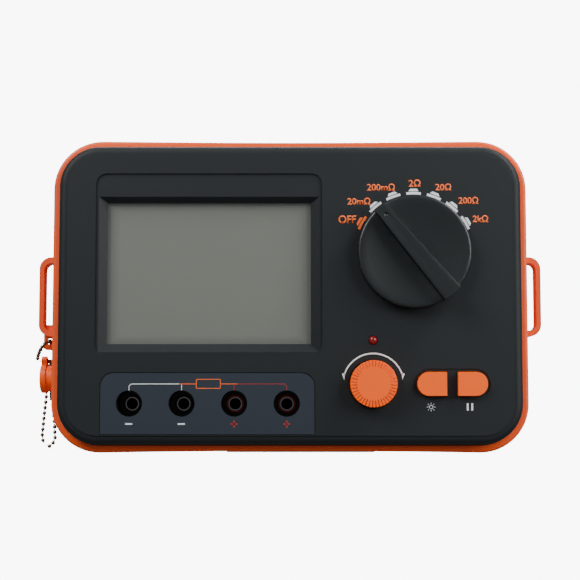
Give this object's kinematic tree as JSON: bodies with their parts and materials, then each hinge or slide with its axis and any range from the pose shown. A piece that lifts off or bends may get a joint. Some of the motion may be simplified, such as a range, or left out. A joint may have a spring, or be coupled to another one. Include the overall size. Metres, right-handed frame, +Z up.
{
  "type": "micro ohmmeter",
  "caption": "Bench milliohm meter in an orange case with a dark front, display, range knob, zero knob, push buttons and plug jacks.",
  "frame": {"origin": "middle of the base at mid depth, on the surface that the meter stands on", "axes": "+Z up, front panel faces -Y, +X to the right as seen from the front"},
  "size_m": [0.1773, 0.07, 0.108],
  "materials": {
    "orange_abs": "satin",
    "orange_knob": "satin",
    "pad_rubber": "matte",
    "dark_abs": "matte",
    "knob_black": "matte",
    "plate_film": "satin",
    "window_clear": "gloss",
    "display_grey": "satin",
    "white_plastic": "matte",
    "black_plastic": "satin",
    "red_plastic": "satin",
    "blue_plastic": "satin",
    "board_green": "satin",
    "pink_rubber": "matte",
    "black_rubber": "matte",
    "steel": "satin",
    "nickel": "polished",
    "brass": "satin",
    "fuse_glass": "gloss",
    "cell_sleeve": "gloss"
  },
  "bodies": {
    "meter": {"rear_case": "orange_abs", "front_shell": "dark_abs", "case_seal": "black_rubber", "lcd_window": "window_clear", "lcd_glass": "display_grey", "lcd_holder": "black_plastic", "lcd_backlight": "white_plastic", "contact_strips": "pink_rubber", "main_board": "board_green", "board_parts": "black_plastic", "board_screws": "steel", "detent_ring": "steel", "pot_body": "blue_plastic", "key_switches": "steel", "status_lamp": "red_plastic", "terminal_plate": "plate_film", "terminal_block": "black_plastic", "black_insulators": "black_plastic", "red_insulators": "red_plastic", "jack_sleeves": "brass", "fuse": "fuse_glass", "fuse_clips": "brass", "battery_box": "black_plastic", "battery_cells": "cell_sleeve", "battery_contacts": "nickel", "battery_leads": "red_plastic", "battery_cover": "orange_abs", "cover_screws": "steel", "stand_pins": "steel", "base_pad": "pad_rubber", "case_screws": "steel", "rubber_feet": "black_rubber", "power_socket": "black_plastic", "ball_chain": "nickel", "chain_clasp": "nickel"},
    "range_switch": {"range_knob": "knob_black", "range_rotor": "white_plastic", "wiper_contacts": "brass", "detent_balls": "steel", "detent_springs": "steel"},
    "zero_control": {"zero_knob": "orange_knob", "pot_shaft": "steel"},
    "backlight_key": {"backlight_button": "orange_knob", "backlight_plunger": "black_plastic"},
    "hold_key": {"hold_button": "orange_knob", "hold_plunger": "black_plastic"},
    "stand": {"tilt_stand": "orange_abs"},
    "cap": {"socket_cap": "orange_knob"}
  },
  "joints": [
    {"name": "range_turn", "type": "hinge", "parent": "meter", "child": "range_switch", "pos_m": [0.0423, 0, 0.0682], "axis": [0, -1, 0], "range_deg": [-100, 20]},
    {"name": "zero_turn", "type": "hinge", "parent": "meter", "child": "zero_control", "pos_m": [0.0282, 0, 0.0234], "axis": [0, -1, 0], "range_deg": [-140, 140]},
    {"name": "backlight_press", "type": "slide", "parent": "meter", "child": "backlight_key", "axis": [0, 1, 0], "range_m": [0, 0.0008], "stiffness_N_per_m": 400, "springref_m": -0.001},
    {"name": "hold_press", "type": "slide", "parent": "meter", "child": "hold_key", "axis": [0, 1, 0], "range_m": [0, 0.0008], "stiffness_N_per_m": 400, "springref_m": -0.001},
    {"name": "stand_tilt", "type": "hinge", "parent": "meter", "child": "stand", "pos_m": [0, 0.0306, 0.048], "axis": [1, 0, 0], "range_deg": [0, 40]},
    {"name": "cap_pull", "type": "slide", "parent": "meter", "child": "cap", "axis": [-1, 0, 0], "range_m": [0, 0.005], "deforming": ["ball_chain", "chain_clasp"]}
  ]
}
